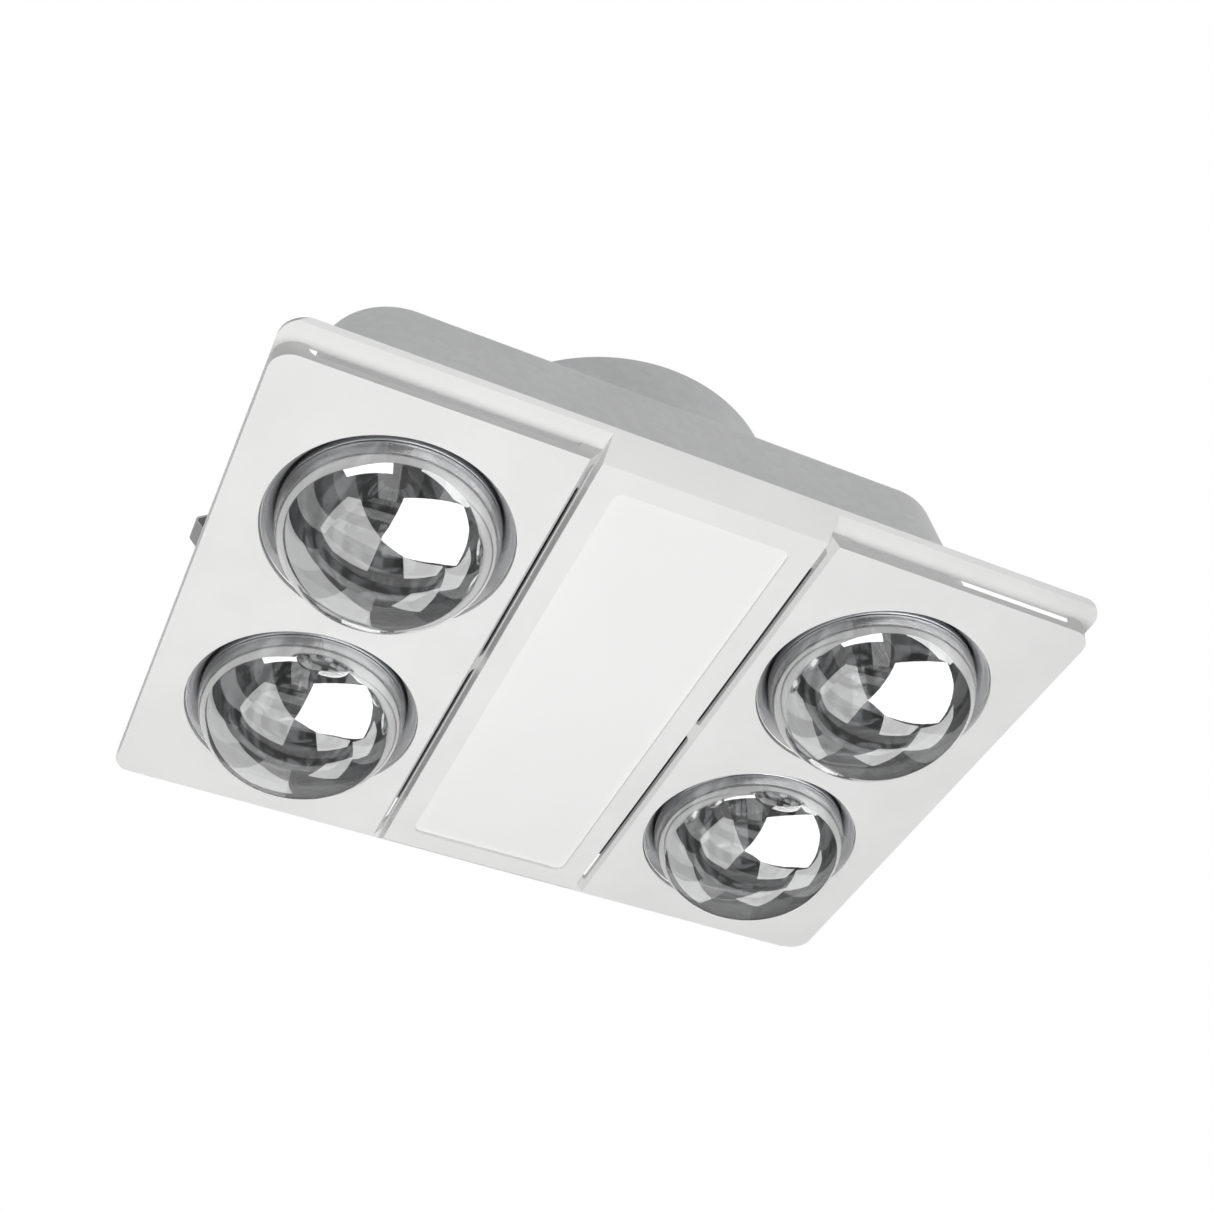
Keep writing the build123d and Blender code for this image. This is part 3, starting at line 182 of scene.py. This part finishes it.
for plastic, colour, rough, nodes in (
    ("impeller_plastic", (0.72, 0.72, 0.7), 0.42, ["impeller"]),
    ("flap_plastic", (0.74, 0.74, 0.73), 0.45, ["flap_left", "flap_right"]),
    ("capacitor_case", (0.78, 0.78, 0.77), 0.35, ["capacitor"]),
    ("box_plastic", (0.76, 0.76, 0.74), 0.42, ["terminal_box", "terminal_lid", "box_posts"]),
    ("block_plastic", (0.72, 0.71, 0.67), 0.45, ["terminal_block"]),
    ("gland_plastic", (0.06, 0.06, 0.062), 0.48, ["cable_gland"]),
    ("driver_case", (0.78, 0.78, 0.76), 0.4, ["led_driver"]),
):
    dress(moulded(plastic, colour, rough), *nodes)

# Heat lamps: blown glass, clear in front and silvered inside behind its widest circle, with
# a wound filament ring on a glass stem and a rolled screw cap of 27 mm.
# They are 126 mm across and stand in ceramic holders under the straps.


def surface(name, grids, finish, node):
    """A piece from grids of points that stands for a CAD node of the fixed unit. Each grid's
    first index runs along a profile and its second around it, and the second wraps. Doubles
    are merged, which closes the poles."""
    points, quads, start = [], [], 0
    for grid in grids:
        rows, columns = grid.shape[:2]
        number = start + np.arange(rows * columns).reshape(rows, columns)
        number = np.hstack([number, number[:, :1]])
        quad = np.stack([number[:-1, :-1], number[:-1, 1:], number[1:, 1:], number[1:, :-1]], -1)
        points.append(grid.reshape(-1, 3))
        quads.append(quad.reshape(-1, 4))
        start += rows * columns
    mesh = bpy.data.meshes.new(name)
    mesh.from_pydata(np.concatenate(points).tolist(), [], np.concatenate(quads).tolist())
    work = bmesh.new()
    work.from_mesh(mesh)
    bmesh.ops.remove_doubles(work, verts=work.verts, dist=1e-6)
    bmesh.ops.recalc_face_normals(work, faces=work.faces)
    work.to_mesh(mesh)
    work.free()
    mesh.polygons.foreach_set("use_smooth", np.ones(len(mesh.polygons), bool))
    mesh.materials.append(finish.material)
    made = bpy.data.objects.new(name, mesh)
    bpy.context.scene.collection.objects.link(made)
    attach(made, "unit")
    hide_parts(node)


def circle(steps):
    """Directions evenly spaced round a circle, as an array of steps rows of (cosine, sine)."""
    angle = np.linspace(0, 2 * pi, steps, endpoint=False)
    return np.stack([np.cos(angle), np.sin(angle)], -1)


def turned(profile, centre, steps=128):
    """Points of a profile of (radius, height) in mm turned about an upright axis at centre."""
    profile = np.asarray(profile, float)
    flat = profile[:, None, :1] * circle(steps)[None] + np.asarray(centre, float)
    height = np.broadcast_to(profile[:, None, 1:], (*flat.shape[:2], 1))
    return np.concatenate([flat, height], -1) / 1000


lamp_centres = {
    "near_left": (-155.5, -79.75),
    "near_right": (155.5, -79.75),
    "far_left": (-155.5, 79.75),
    "far_right": (155.5, 79.75),
}
glass_wall = 1.0
bulb_radius, bulb_widest = 63.2, -6.0
edge_radius, front_radius = 48.0, 85.0
edge_ring = bulb_radius - edge_radius
front_angle = np.arcsin(edge_ring / (front_radius - edge_radius))
front_apex = bulb_widest + (front_radius - edge_radius) * np.cos(front_angle) - front_radius
shoulder_point, waist_point = (52.0, 30.0), (30.0, 60.0)
neck_radius, neck_start, neck_end = 13.4, 82.0, 97.0


def bulb_front(wall):
    """Half outline of the front glass: a dome of one radius, then the rounder edge."""
    dome = np.linspace(0, front_angle, 28)
    turn = np.linspace(front_angle, pi / 2, 44)[1:]
    cap, edge = front_radius - wall, edge_radius - wall
    centre = front_apex + front_radius
    front = np.stack([cap * np.sin(dome), centre - cap * np.cos(dome)], -1)
    side = np.stack([edge_ring + edge * np.sin(turn), bulb_widest - edge * np.cos(turn)], -1)
    return np.concatenate([front, side])


def tangent_arc(start, direction, end, count):
    """Points of the arc from start to end that leaves start along a direction."""
    start, end = np.asarray(start, float), np.asarray(end, float)
    direction = np.asarray(direction, float) / np.linalg.norm(direction)
    normal = np.array([-direction[1], direction[0]])
    chord = end - start
    reach = chord @ chord / (2 * chord @ normal)
    middle = start + reach * normal
    first = np.arctan2(*(start - middle)[::-1])
    swept = 2 * np.arctan2(chord @ normal, chord @ direction)
    angle = first + np.linspace(0, swept, count)
    return middle + abs(reach) * np.stack([np.cos(angle), np.sin(angle)], -1)


def bulb_back(wall):
    """Half outline of the silvered back: an arc from the widest circle to the shoulder, a
    straight slope to the waist, a hollow arc into the neck and the neck."""
    outline = ((bulb_radius, bulb_widest), shoulder_point, waist_point, (neck_radius, neck_start))
    rim, shoulder, waist, neck = [np.array([radius - wall, z]) for radius, z in outline]
    dome = tangent_arc(rim, (0, 1), shoulder, 30)
    hollow = tangent_arc(waist, waist - shoulder, neck, 16)
    return np.concatenate([dome, hollow, [(neck_radius - wall, neck_end)]])


def wound_ring(centre, height, ring, coil, wire, turns):
    """A tube of radius wire that winds round a ring: its line is at angle a of the ring and at
    angle turns * a of the coil, over eleven twelfths of a turn of the ring."""
    half_opening = pi / 12
    steps_per_turn, sides = 10, 6
    a = np.linspace(half_opening, 2 * pi - half_opening, turns * steps_per_turn)
    b = turns * a
    out = np.stack([np.cos(a), np.sin(a), 0 * a], -1)
    up = np.array([0, 0, 1.0])
    line = ring * out + coil * (np.cos(b)[:, None] * out + np.sin(b)[:, None] * up)
    along = np.gradient(line, axis=0)
    along /= np.linalg.norm(along, axis=1, keepdims=True)
    side = np.cross(along, out)
    side /= np.linalg.norm(side, axis=1, keepdims=True)
    other = np.cross(along, side)
    across, upward = circle(sides).T[:, None, :, None]
    tube = line[:, None] + wire * (across * side[:, None] + upward * other[:, None])
    return (tube + [centre[0], centre[1], height]) / 1000


def straight_post(tip, foot, radius):
    """A thin rod from tip to foot: points along the line between them, a level circle each."""
    rows, sides = 9, 6
    share = np.linspace(0, 1, rows)[:, None, None]
    rim = radius * np.hstack([circle(sides), np.zeros((sides, 1))])
    return (tip + (foot - tip) * share + rim) / 1000


def filament_parts(centre):
    """The wound ring, the five posts that hold it, and the glass stem that they spring from."""
    ring_height, ring_radius, coil_radius, wire_radius, coil_turns = 21.0, 16.0, 1.5, 0.22, 88
    post_count, post_radius, tip_height, foot_radius, foot_height = 5, 0.3, 22.6, 3.4, 52.0
    posts = []
    for direction in circle(post_count):
        tip = np.array([*(centre + ring_radius * direction), tip_height])
        foot = np.array([*(centre + foot_radius * direction), foot_height])
        posts.append(straight_post(tip, foot, post_radius))
    stem = [(0, 51.0), (4.4, 51.6), (5.0, 53.0), (4.4, 60.0), (5.0, 80.0), (5.0, neck_end)]
    coil = wound_ring(centre, ring_height, ring_radius, coil_radius, wire_radius, coil_turns)
    return [coil, *posts, turned([*stem, (0, neck_end)], centre, 32)]


def screw_cap(centre):
    """A screw cap 23.5 mm high: the shell's radius rises and falls once per pitch of height,
    and the crest climbs a pitch each turn. The thread fades at both ends."""
    steps, rows = 96, 84
    shell_end, shell_radius, pitch = 114.5, 13.15, 3.6
    core_drop, thread_depth, fade_length = 0.35, 0.5, 1.2
    thread_start, thread_end = 98.5, 114.0
    z = np.linspace(neck_end, shell_end, rows)
    angle = np.linspace(0, 2 * pi, steps, endpoint=False)
    fade = np.clip((z - thread_start) / fade_length, 0, 1)
    fade = (fade * np.clip((thread_end - z) / fade_length, 0, 1))[:, None]
    wave = np.cos(2 * pi * z[:, None] / pitch - angle[None])
    radius = np.minimum(shell_radius - core_drop * fade + thread_depth * fade * wave, neck_radius)
    flat = radius[..., None] * circle(steps) + np.asarray(centre)
    height = np.broadcast_to(z[:, None, None], (rows, steps, 1))
    shell = np.concatenate([flat, height], -1) / 1000
    end = [(13.0, shell_end), (12.2, 115.4), (8.4, 117.6), (8.0, 118.0)]
    contact = [(4.6, 118.2), (4.4, 119.9), (3.4, 120.4), (0, 120.5)]
    start = [(0, neck_end), (shell_radius, neck_end)]
    return [turned(start, centre, steps), shell, turned(end + contact, centre, steps)]


mirror_like = {"Coat_Weight": 1.0, "Coat_Roughness": 0.0, "Coat_IOR": 4.0}
glass_tint = (0.96, 0.965, 0.97)
clear_glass = Finish(
    "clear_glass", glass_tint, 0.0, Transmission_Weight=1.0, IOR=1.47, **mirror_like
)
silvering = Finish("silvered_glass", (0.8, 0.81, 0.82), 0.06, metal=1.0)
silver_cloud = silvering.spread(silvering.cloud(0.03), 0.3, 0.7)
silvering.colour_over(silver_cloud, (0.76, 0.77, 0.78), (0.83, 0.84, 0.85))
ripples = silvering.cloud(0.018, detail=1)
silvering.feed(Normal=silvering.bump(ripples, depth=0.0006, strength=0.3))
tungsten = Finish("tungsten_wire", (0.2, 0.19, 0.18), 0.4, metal=0.9)
tungsten.rough_over(tungsten.cloud(0.002), 0.32, 0.5)
cap_metal = Finish("cap_shell", (0.6, 0.59, 0.56), 0.3, metal=0.95)
cap_metal.colour_over(cap_metal.cloud(0.006, detail=3), (0.5, 0.49, 0.46), (0.68, 0.67, 0.64))
glaze = moulded("glazed_ceramic", (0.78, 0.75, 0.68), 0.3, grain=0.004, depth=0.00006)

for lamp, centre in lamp_centres.items():
    node = f"lamp_{lamp}_"
    front = turned([*bulb_front(0), *bulb_front(glass_wall)[::-1]], centre)
    surface(f"{lamp}_front", [front], clear_glass, node + "front_glass")
    back = turned([*bulb_back(0), *bulb_back(glass_wall)[::-1], bulb_back(0)[0]], centre)
    surface(f"{lamp}_reflector", [back], silvering, node + "mirror_glass")
    parts = filament_parts(centre)
    surface(f"{lamp}_filament", parts, tungsten, node + "filament")
    surface(f"{lamp}_cap", screw_cap(centre), cap_metal, node + "cap")
    dress(glaze, node + "holder")

# Collars: spun and polished aluminium rings, 0.8 mm thick, that close the gap between each
# bulb and its opening. Each flares from 59 mm radius at its top to 71 mm at the face.


def flowing(points, count):
    """A smooth curve through points: cubic pieces whose tangents lie along their neighbours."""
    points = np.asarray(points, float)
    slopes = np.gradient(points, axis=0)
    share = np.linspace(0, len(points) - 1, count)
    first = np.minimum(share.astype(int), len(points) - 2)
    t = (share - first)[:, None]
    return (
        (2 * t**3 - 3 * t**2 + 1) * points[first]
        + (t**3 - 2 * t**2 + t) * slopes[first]
        + (3 * t**2 - 2 * t**3) * points[first + 1]
        + (t**3 - t**2) * slopes[first + 1]
    )


polish = Finish("polished_collar", (0.88, 0.88, 0.89), 0.2, metal=0.72)
polish.rough_over(polish.cloud(0.0015, stretch=(1, 1, 6)), 0.15, 0.26)
polish.colour_over(polish.cloud(0.02), (0.84, 0.84, 0.85), (0.91, 0.91, 0.92))
collar_wall = 0.8
collar_top, collar_lip = [(58.6, 32.0), (61.8, 22.5), (63.6, 13.0)], [(67.2, -4.4), (70.9, -9.7)]
collar_line = flowing([*collar_top, (64.6, 2.0), *collar_lip], 48)
across = np.stack([-np.gradient(collar_line[:, 1]), np.gradient(collar_line[:, 0])], -1)
across /= np.linalg.norm(across, axis=1, keepdims=True)
collar_inside = collar_line - collar_wall * np.sign(across[:, :1]) * across
collar_section = np.concatenate([collar_line, collar_inside[::-1], collar_line[:1]])
for lamp, centre in lamp_centres.items():
    ring = turned(collar_section, centre)
    surface(f"{lamp}_collar", [ring], polish, f"lamp_{lamp}_collar")

# Light: an opal diffuser held behind the fascia's window by a white steel tray, and a board
# with rows of small phosphor-covered chips above it.

opal = Finish("opal_diffuser", (0.87, 0.87, 0.865), 0.42)
opal.colour_over(opal.cloud(0.07), (0.855, 0.855, 0.85), (0.885, 0.885, 0.88))
opal.feed(Normal=opal.bump(opal.cloud(0.0011), depth=0.00003, strength=0.5))
dress(opal, "led_diffuser")
dress(moulded("tray_paint", (0.8, 0.8, 0.8), 0.35, grain=0.002), "led_tray")
tracks_per_metre = 40.0
board_mask = Finish("board_mask", (0.72, 0.73, 0.72), 0.35)
track_place = {"Vector": board_mask.place, "Scale": tracks_per_metre}
tracks = board_mask.node("TexBrick", {}, track_place, out="Color")
track = board_mask.node("SeparateColor", {}, {0: tracks}, out="Red")
board_mask.colour_over(track, (0.66, 0.68, 0.67), (0.78, 0.79, 0.78))
dress(board_mask, "led_board")
phosphor = Finish("phosphor", (0.85, 0.68, 0.2), 0.3, Coat_Weight=0.4)
phosphor.colour_over(phosphor.cloud(0.001), (0.82, 0.64, 0.18), (0.88, 0.72, 0.26))
dress(phosphor, "led_chips")

# Fascia: one moulding in white plastic, 499 mm long, with two lamp panels, a middle block for
# the light, deep grooves between them and a thin ledge round the panels. Edges are softened
# by the mould. Four tabs on its back push into leaf clips in the housing.

white = (0.82, 0.82, 0.815)
fine_grain = {"grain": 0.0009, "depth": 0.000012}
fascia_white = moulded("fascia_plastic", white, 0.34, **fine_grain, Specular_IOR_Level=0.3)
edge_softness, sharp_angle, flat_angle, merge_distance = 0.0005, 0.5, 0.01, 2e-6

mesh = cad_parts["fascia"].data.copy()
mesh.name = "fascia_soft"
work = bmesh.new()
work.from_mesh(mesh)
bmesh.ops.remove_doubles(work, verts=work.verts, dist=merge_distance)
bmesh.ops.dissolve_limit(work, angle_limit=flat_angle, verts=work.verts, edges=work.edges)
bmesh.ops.recalc_face_normals(work, faces=work.faces)
work.to_mesh(mesh)
work.free()
mesh.polygons.foreach_set("use_smooth", np.zeros(len(mesh.polygons), bool))
mesh.materials.clear()
mesh.materials.append(fascia_white.material)
fascia = bpy.data.objects.new("fascia_soft", mesh)
bpy.context.scene.collection.objects.link(fascia)
softening = fascia.modifiers.new("edge", "BEVEL")
softening.width = edge_softness
softening.segments = 2
softening.limit_method = "ANGLE"
softening.angle_limit = sharp_angle
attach(fascia, "unit")
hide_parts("fascia")

spring_dark, spring_light = (0.4, 0.405, 0.41), (0.5, 0.5, 0.51)
spring = zinc_sheet("spring_steel", spring_dark, spring_light, rough=0.34, metal=0.6)
dress(spring, "fascia_clips", "catch_arm_left", "catch_arm_right")

# Screws: small pan heads, cold-headed from steel wire and zinc-plated, that hold the drum, the
# brackets and the terminal box's lid.

plated = Finish("zinc_plate", (0.56, 0.56, 0.54), 0.32, metal=0.9)
plated.rough_over(plated.cloud(0.002), 0.26, 0.4)
dress(plated, "case_screws")

# Studio: a pale floor well below the fixture, a soft lamp below it and another above it, and
# a camera below its near left corner, looking up. Distant glowing cards and dark flags give
# the bulbs and the collars something to reflect, and light nothing else.

scene = bpy.context.scene
scene.view_settings.view_transform = "Standard"
sensor_width, focal_pixels, photo_width = 36.0, 1645.852, 1214
eye = bpy.data.cameras.new("camera")
eye.sensor_width = sensor_width
eye.lens = sensor_width * focal_pixels / photo_width
eye.clip_start = 0.01
camera = bpy.data.objects.new("camera", eye)
right = Vector((0.90873062, -0.41735691, -0.004676))
down = Vector((0.2965867, 0.65357361, -0.69633172))
ahead = Vector((0.29367497, 0.63139112, 0.71770486))
turn = Matrix((right, -down, -ahead)).transposed().to_4x4()
camera.matrix_world = Matrix.Translation((-0.3014583, -0.6798977, -0.6920764)) @ turn
scene.collection.objects.link(camera)
scene.camera = camera

room_light, backdrop_light = 0.34, 1.0
world = bpy.data.worlds.new("studio")
scene.world = world
world.use_nodes = True
sky = world.node_tree
backdrop = sky.nodes["Background"]
backdrop.inputs["Color"].default_value = (1, 1, 1, 1)
path = sky.nodes.new("ShaderNodeLightPath")
through = sky.nodes.new("ShaderNodeMath")
seen = sky.nodes.new("ShaderNodeMath")
through.operation = seen.operation = "MAXIMUM"
level = sky.nodes.new("ShaderNodeMapRange")
level.inputs["To Min"].default_value = room_light
level.inputs["To Max"].default_value = backdrop_light
for source, socket in (
    (path.outputs["Is Glossy Ray"], through.inputs[0]),
    (path.outputs["Is Transmission Ray"], through.inputs[1]),
    (path.outputs["Is Camera Ray"], seen.inputs[0]),
    (through.outputs[0], seen.inputs[1]),
    (seen.outputs[0], level.inputs["Value"]),
    (level.outputs[0], backdrop.inputs["Strength"]),
):
    sky.links.new(source, socket)


def soft_lamp(name, place, size, watts):
    """A square area lamp that faces the fixture and isn't seen itself."""
    data = bpy.data.lights.new(name, "AREA")
    data.size = size
    data.energy = watts
    lamp = bpy.data.objects.new(name, data)
    lamp.location = place
    lamp.rotation_euler = (-Vector(place)).to_track_quat("-Z", "Y").to_euler()
    lamp.visible_camera = lamp.visible_glossy = lamp.visible_transmission = False
    scene.collection.objects.link(lamp)


soft_lamp("under", (-0.16, -0.09, -0.92), size=0.8, watts=7.1)
soft_lamp("over", (0.3, -0.1, 1.9), size=1.2, watts=15)


def card(name, level, away, directions, inside=False):
    """A distant card of an even glow, seen only in reflections, or else only through glass,
    inside the bulbs. Its corners lie that many metres away in the directions given."""
    corners = [Vector(direction).normalized() * away for direction in directions]
    mesh = bpy.data.meshes.new(name)
    mesh.from_pydata(corners, [], [tuple(range(len(corners)))])
    glow = Finish(name, (0, 0, 0), 1.0, Emission_Color=(1, 1, 1, 1), Emission_Strength=level)
    glow.material.cycles.emission_sampling = "NONE"
    mesh.materials.append(glow.material)
    made = bpy.data.objects.new(name, mesh)
    made.visible_camera = made.visible_diffuse = made.visible_shadow = False
    made.visible_glossy = not inside
    made.visible_transmission = inside
    scene.collection.objects.link(made)


card_distance, fill_distance, flag_distance = 12.0, 11.0, 24.0
key = [(-0.05, -0.84, -0.51), (0.79, -0.62, 0.04), (0.93, -0.35, -0.14), (0.84, 0.14, -0.52)]
key += [(0.23, 0.1, -0.96), (-0.1, -0.03, -0.99)]
card("key_card", 2.62, card_distance, key)
window = [(-0.86, -0.45, 0.25), (-0.3, -0.9, 0.3), (-0.3, -0.95, -0.05), (-0.84, -0.54, -0.02)]
card("window_card", 2.7, card_distance, window)
strip = [(0.1, -0.96, 0.18), (0.66, -0.75, -0.03), (0.81, -0.55, 0.06), (0.85, -0.4, 0.35)]
strip += [(0.6, -0.55, 0.58), (0.2, -0.85, 0.48)]
card("strip_card", 1.8, card_distance, strip)
fill = [(-0.8, 0.22, -0.53), (-0.77, -0.43, -0.42), (-0.62, -0.53, -0.55), (-0.1, -0.03, -0.99)]
fill += [(-0.08, 0.45, -0.89), (-0.48, 0.42, -0.77)]
card("fill_card", 0.9, fill_distance, fill)
low = [(0.22, 0.1, -0.96), (0.68, 0.17, -0.72), (0.62, 0.3, -0.72), (0.32, 0.4, -0.87)]
card("low_card", 1.3, card_distance, low)
tall = [(0.86, 0.15, -0.5), (0.95, -0.1, -0.25), (0.97, 0.1, -0.22), (0.84, 0.48, -0.3)]
tall += [(0.66, 0.52, -0.55), (0.71, 0.2, -0.69)]
card("tall_card", 1.15, card_distance, tall)
end = [(0.43, 0.58, -0.69), (0.68, 0.48, -0.58), (0.51, 0.79, -0.35), (0.29, 0.79, -0.55)]
card("end_card", 1.1, card_distance, end)
side = [(-0.8, 0.5, 0.3), (-0.72, 0.55, -0.3), (-0.45, 0.7, -0.55), (-0.1, 0.85, -0.52)]
side += [(0.15, 0.92, -0.38), (0.2, 0.97, 0.0), (-0.4, 0.9, 0.1)]
card("side_card", 0.85, card_distance, side)


def upright(first, second, low, high):
    """Corner directions of a wall between two bearings, from a low to a high slope."""
    return [(*first, low), (*second, low), (*second, high), (*first, high)]


# Dark flags stand behind the cards on four sides and below. The panes all round and the
# strips below, light and dark by turns, are what the silvered backs show through the glass.

flag_low, flag_high = -1, 0.45
around = [(-1, -1), (1, -1), (1, 1), (-1, 1)]
card("flag_below", 0.04, flag_distance, [(x, y, flag_low) for x, y in around])
for turn, shade in enumerate((0.04, 0.06, 0.1, 0.05)):
    wall = upright(around[turn], around[(turn + 1) % 4], flag_low, flag_high)
    card(f"flag_{turn}", shade, flag_distance, wall)

pane_low, pane_high = -0.9, 0.8
pane_levels = (0.04, 0.8, 0.02, 0.3, 1.1, 0.03, 0.6, 0.02, 0.95)
pane_levels += (0.1, 0.5, 0.02, 1.0, 0.2, 0.02, 0.7, 0.05, 0.4)
bearings = circle(len(pane_levels))
for turn, shade in enumerate(pane_levels):
    wall = upright(bearings[turn], bearings[(turn + 1) % len(bearings)], pane_low, pane_high)
    card(f"pane_{turn}", shade, flag_distance, wall, inside=True)

strip_reach = 1.1
strip_levels = (0.4, 0.03, 0.75, 0.15, 0.65, 0.04, 0.5, 0.1, 0.9)
strip_edges = np.linspace(-strip_reach, strip_reach, len(strip_levels) + 1)
for row, shade in enumerate(strip_levels):
    near, far = strip_edges[row], strip_edges[row + 1]
    ends = [(-strip_reach, near), (strip_reach, near), (strip_reach, far), (-strip_reach, far)]
    card(f"strip_{row}", shade, flag_distance, [(*end, pane_low) for end in ends], inside=True)

floor_reach, floor_height = 6, -1.4
floor_corners = [(floor_reach * x, floor_reach * y, floor_height) for x, y in around]
floor_mesh = bpy.data.meshes.new("floor")
floor_mesh.from_pydata(floor_corners, [], [(0, 1, 2, 3)])
floor_mesh.materials.append(Finish("pale_floor", (0.8, 0.8, 0.8), 0.9).material)
floor = bpy.data.objects.new("floor", floor_mesh)
floor.visible_glossy = floor.visible_transmission = False
scene.collection.objects.link(floor)
